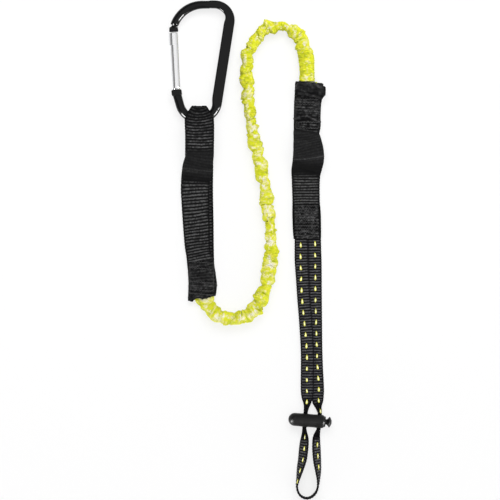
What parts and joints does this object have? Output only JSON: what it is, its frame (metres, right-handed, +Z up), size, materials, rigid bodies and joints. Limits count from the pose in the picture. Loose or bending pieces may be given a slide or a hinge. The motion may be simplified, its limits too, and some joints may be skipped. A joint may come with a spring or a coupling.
{
  "type": "shock absorbing lanyard",
  "caption": "Elastic tool lanyard laid flat: gated carabiner on a webbing loop, gathered shock sleeve, sewn strap and a choke loop with a spring cord lock.",
  "frame": {"origin": "middle of the lanyard as it lies, on the surface under it", "axes": "+X to the right, +Y from the choke loop to the carabiner, +Z up from the surface"},
  "size_m": [0.1238, 0.3789, 0.013],
  "materials": {
    "black_anodised": "glossy black anodised aluminium",
    "polished_gate": "polished bare aluminium",
    "spring_steel": "drawn spring wire",
    "black_webbing": "ribbed black nylon webbing",
    "black_thread": "bonded black sewing thread",
    "lime_webbing": "gathered lime polyester sleeve",
    "elastic_core": "natural rubber elastic",
    "loop_webbing": "narrow ribbed black webbing",
    "tracer_yarn": "woven yellow tracer yarn",
    "lock_plastic": "moulded matte black nylon"
  },
  "bodies": {
    "lanyard": {"carabiner_strap": "black_webbing", "carabiner_strap_stitching": "black_thread", "sleeve_tail_carabiner_end": "lime_webbing", "elastic_sleeve": "lime_webbing", "elastic_core": "elastic_core", "sleeve_tail_tool_end": "lime_webbing", "tool_strap_front": "black_webbing", "tool_strap_back": "black_webbing", "tool_strap_hem": "black_webbing", "tool_strap_box_stitching": "black_thread", "tool_strap_bar_tacks": "black_thread", "choke_loop_left_leg": "loop_webbing", "choke_loop_right_leg": "loop_webbing", "choke_loop_waist": "loop_webbing", "choke_loop_bight": "loop_webbing", "choke_loop_tracer": "tracer_yarn"},
    "carabiner": {"carabiner_body": "black_anodised", "gate_pivot_rivet": "black_anodised"},
    "gate": {"carabiner_gate": "polished_gate", "gate_latch_pin": "polished_gate", "gate_spring": "spring_steel"},
    "push_rod": {"gate_push_rod": "spring_steel"},
    "cord_lock": {"cord_lock_barrel": "lock_plastic", "cord_lock_spring": "spring_steel"},
    "plunger": {"cord_lock_plunger": "lock_plastic"}
  },
  "joints": [
    {"name": "carabiner_swing", "type": "hinge", "parent": "lanyard", "child": "carabiner", "pos_m": [-0.039, 0.099, 0.005], "axis": [1, 0, 0], "range_deg": [-1.5, 90]},
    {"name": "gate_opening", "type": "hinge", "parent": "carabiner", "child": "gate", "pos_m": [-0.05562, 0.11864, 0.005], "axis": [0, 0, -1], "range_deg": [0, 26], "stiffness_Nm_per_rad": 0.02, "springref_deg": -28.65},
    {"name": "push_rod_slide", "type": "slide", "parent": "gate", "child": "push_rod", "axis": [-0.0488, 0.9988, 0], "range_m": [0, 0.0009], "deforming": ["gate_spring"]},
    {"name": "cord_lock_slide", "type": "slide", "parent": "lanyard", "child": "cord_lock", "axis": [0, 1, 0], "range_m": [-0.04, 0.12], "deforming": ["choke_loop_waist", "choke_loop_left_leg", "choke_loop_right_leg", "choke_loop_bight", "choke_loop_tracer"]},
    {"name": "plunger_press", "type": "slide", "parent": "cord_lock", "child": "plunger", "axis": [-0.9968, 0.0802, 0], "range_m": [0, 0.002], "stiffness_N_per_m": 400, "springref_m": -0.002, "deforming": ["cord_lock_spring"]}
  ],
  "couplings": [
    {"joint": "push_rod_slide", "follows": "gate_opening", "m_per_rad": 0.0019}
  ]
}
